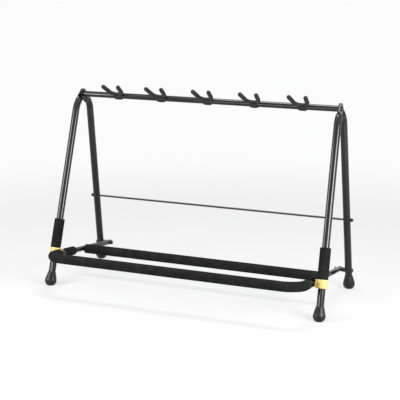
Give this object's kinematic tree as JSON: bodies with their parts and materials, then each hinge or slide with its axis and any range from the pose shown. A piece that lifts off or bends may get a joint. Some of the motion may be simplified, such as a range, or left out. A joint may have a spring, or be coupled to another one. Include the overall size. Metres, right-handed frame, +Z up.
{
  "type": "guitar rack",
  "caption": "Free-standing folding floor rack for guitars: black tube side frames, a top bar with sliding neck yokes, and a fold-up base of foam-padded bars.",
  "frame": {"origin": "on the floor, under the middle of the rack's box", "axes": "+X along the top bar to the right as seen from the front, +Y to the back, +Z up"},
  "size_m": [1.0416, 0.5093, 0.7049],
  "materials": {
    "gloss_black_steel": "gloss",
    "satin_black_steel": "satin",
    "plated_steel": "satin",
    "nylon": "satin",
    "black_plastic": "satin",
    "yoke_plastic": "matte",
    "pad_rubber": "matte",
    "foot_rubber": "matte",
    "black_foam": "matte",
    "yellow_plastic": "gloss"
  },
  "bodies": {
    "rear_frame": {"rear_leg_left": "satin_black_steel", "rear_leg_right": "satin_black_steel", "rear_foot_left": "foot_rubber", "rear_foot_right": "foot_rubber", "top_bar": "gloss_black_steel", "bar_inserts": "plated_steel", "hinge_bolt_left": "plated_steel", "hinge_bolt_right": "plated_steel", "hinge_washers": "nylon", "back_rod": "satin_black_steel", "rod_caps": "black_plastic", "pivot_bolts": "plated_steel", "pivot_spacers": "black_plastic", "pivot_nuts": "plated_steel"},
    "front_leg_left": {"front_leg_left": "gloss_black_steel", "front_foot_left": "foot_rubber", "leg_sleeve_left": "black_foam", "stop_collar_left": "yellow_plastic"},
    "front_leg_right": {"front_leg_right": "gloss_black_steel", "front_foot_right": "foot_rubber", "leg_sleeve_right": "black_foam", "stop_collar_right": "yellow_plastic"},
    "base": {"base_frame": "gloss_black_steel", "base_rear_bar": "gloss_black_steel", "front_bar_foam": "black_foam", "rear_bar_foam": "black_foam", "arm_sleeve_left": "black_foam", "arm_sleeve_right": "black_foam", "arm_plugs": "black_plastic", "rest_studs": "plated_steel"},
    "yoke_1": {"yoke_1": "yoke_plastic", "prong_pads_1": "pad_rubber"},
    "yoke_2": {"yoke_2": "yoke_plastic", "prong_pads_2": "pad_rubber"},
    "yoke_3": {"yoke_3": "yoke_plastic", "prong_pads_3": "pad_rubber"},
    "yoke_4": {"yoke_4": "yoke_plastic", "prong_pads_4": "pad_rubber"},
    "yoke_5": {"yoke_5": "yoke_plastic", "prong_pads_5": "pad_rubber"}
  },
  "joints": [
    {"name": "front_leg_left_fold", "type": "hinge", "parent": "rear_frame", "child": "front_leg_left", "pos_m": [-0.48125, 0.09757, 0.659], "axis": [0.9998, 0, -0.0209], "range_deg": [0, 26]},
    {"name": "front_leg_right_fold", "type": "hinge", "parent": "rear_frame", "child": "front_leg_right", "pos_m": [0.48125, 0.09757, 0.659], "axis": [0.9998, 0, 0.0209], "range_deg": [0, 26]},
    {"name": "base_fold", "type": "hinge", "parent": "rear_frame", "child": "base", "pos_m": [0, 0.22588, 0.0683], "axis": [-1, 0, 0], "range_deg": [0, 67]},
    {"name": "yoke_1_slide", "type": "slide", "parent": "rear_frame", "child": "yoke_1", "axis": [1, 0, 0], "range_m": [-0.04, 0.04]},
    {"name": "yoke_2_slide", "type": "slide", "parent": "rear_frame", "child": "yoke_2", "axis": [1, 0, 0], "range_m": [-0.04, 0.04]},
    {"name": "yoke_3_slide", "type": "slide", "parent": "rear_frame", "child": "yoke_3", "axis": [1, 0, 0], "range_m": [-0.04, 0.04]},
    {"name": "yoke_4_slide", "type": "slide", "parent": "rear_frame", "child": "yoke_4", "axis": [1, 0, 0], "range_m": [-0.04, 0.04]},
    {"name": "yoke_5_slide", "type": "slide", "parent": "rear_frame", "child": "yoke_5", "axis": [1, 0, 0], "range_m": [-0.04, 0.04]}
  ]
}
